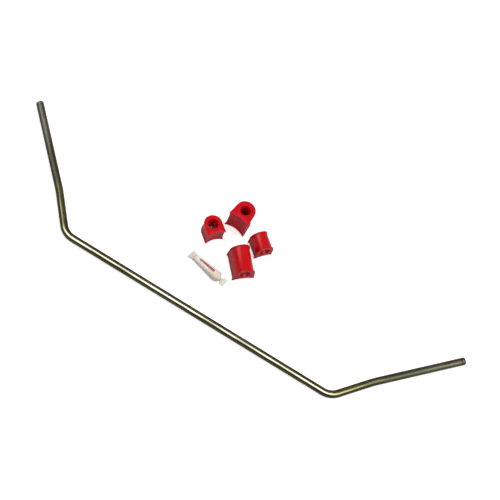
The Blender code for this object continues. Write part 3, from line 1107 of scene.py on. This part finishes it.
grease, tree, shader = new_material("fitting_grease")
place, parts = own_coordinates(tree, "own_place")
swirl = use_group(tree, cloudiness, Place=place, Stretch=(0.5, 1.0, 1.0), Size=0.007, Sharpness=0.6)
towards_shoulder = map_range(tree, parts["X"], 0.062, 0.086, smooth=True)
cream = blend(tree, swirl, (0.95, 0.94, 0.91), (0.88, 0.86, 0.80))
peach = blend(tree, swirl, (0.90, 0.74, 0.62), (0.82, 0.62, 0.50))
colour = blend(tree, towards_shoulder, cream, peach)
set_surface(tree, shader, colour, map_range(tree, swirl, 0.0, 1.0, 0.35, 0.6), swirl, SWIRL_DEPTH)
print("finish:", grease.name)


# %% Ink
INK_RELIEF = 0.00002

ink, tree, shader = new_material("printed_ink")
place, _ = own_coordinates(tree, "own_place")
wear = use_group(tree, cloudiness, Place=place, Stretch=(1.0, 1.6, 1.0), Size=0.0014, Sharpness=0.9)
mottle = use_group(tree, fine_grain, Place=place, Size=0.0006)
fresh = blend(tree, mottle, (0.27, 0.003, 0.010), (0.42, 0.006, 0.016))
worn = map_range(tree, wear, 0.80, 1.0, 0.0, 0.7)
colour = blend(tree, worn, fresh, (0.85, 0.50, 0.46))
set_surface(tree, shader, colour, map_range(tree, wear, 0.0, 1.0, 0.35, 0.65), wear, INK_RELIEF)
print("finish:", ink.name)


# %% [markdown]
# ### The ampoule's pieces
# The shell's skin goes from the tail to the nozzle and back along the inside, so its wall is real. The
# grease stops just short of it. The tab is thinner in the middle, with grip ribs, and the ink is a film
# that follows the shell's upper side.

# %% Shell and grease
HOLLOW_FROM = 0.0140
WALL = 0.0009
GREASE_CLEARANCE = 0.0005

outside = [section_ring(smooth_at(SHELL_STATIONS, x)) for x in spaced(0.0, SHELL_END, 90)]
inside = [section_ring(smooth_at(SHELL_STATIONS, x), WALL)
          for x in reversed(spaced(HOLLOW_FROM, SHELL_END, 70))]
add_piece("ampoule_shell_skin", loft(outside + inside), clear_plastic,
          "ampoule", "ampoule_shell")


ends = (HOLLOW_FROM + GREASE_CLEARANCE, SHELL_END - GREASE_CLEARANCE)
inset = WALL + GREASE_CLEARANCE
rings = [section_ring(smooth_at(SHELL_STATIONS, x), inset) for x in spaced(*ends, 70)]
add_piece("ampoule_grease_fill", loft(rings), grease, "ampoule", "ampoule_grease")


# %% Twist-off tab
WEB = (0.1034, 0.1116)
WEB_EDGE = 0.0005
RIB_PITCH = 0.00205
FRAME_FROM = 0.80
FRAME_EDGE = 0.08
WEB_THINNING = 0.50
RIB_THICKENING = 0.22

# The twist-off tab: a thin web inside a thicker frame, with grip ribs across it.
rings = []
for x in spaced(TAB_STATIONS[0][0], TAB_END, 60):
    ring = section_ring(smooth_at(TAB_STATIONS, x))
    half_width = max(point.y for point in ring)
    web = held((x - WEB[0]) / WEB_EDGE) * held((WEB[1] - x) / WEB_EDGE)
    rib = 0.5 - 0.5 * math.cos(2 * math.pi * (x - WEB[0]) / RIB_PITCH)
    for point in ring:
        inner = held((FRAME_FROM - abs(point.y) / half_width) / FRAME_EDGE)
        point.z *= 1.0 - web * inner * (WEB_THINNING - RIB_THICKENING * rib)
    rings.append(ring)
add_piece("ampoule_twist_tab_grip", loft(rings, 50.0), clear_plastic,
          "twist_tab", "ampoule_twist_tab")


# %% Printed bar
PRINT_START = 0.0280
PRINT_LENGTH = 0.0470
PRINT_MIDDLE = 0.0030
PRINT_HALF_WIDTH = 0.0019
PRINT_WIDENING = 0.0013
INK_UNDERSIDE = 0.00001
INK_TOP = 0.00006


def shell_top_row(x):
    """(point, outward direction) across the printed bar at x, on the shell's upper side."""
    _, width, thickness, _ = smooth_at(SHELL_STATIONS, x)
    spread = PRINT_HALF_WIDTH + PRINT_WIDENING * (x - PRINT_START) / PRINT_LENGTH
    row = []
    for y in spaced(PRINT_MIDDLE - spread, PRINT_MIDDLE + spread, 12):
        z = thickness / 2 * math.sqrt(1 - (2 * y / width) ** 2)
        out = Vector((0.0, y / (width / 2) ** 2, z / (thickness / 2) ** 2)).normalized()
        row.append((Vector((x, y, z)), out))
    return row


rings = []
for x in spaced(PRINT_START, PRINT_START + PRINT_LENGTH, 80):
    row = shell_top_row(x)
    top = [point + INK_TOP * out for point, out in row]
    under = [point + INK_UNDERSIDE * out for point, out in reversed(row)]
    rings.append(top + under)
add_piece("ampoule_printed_bar", loft(rings, 50.0), ink, "ampoule", None)


# %% [markdown]
# ## Finish
# The dressed kit should be as large as the imported one.

# %% Finish
print("scene dressed")
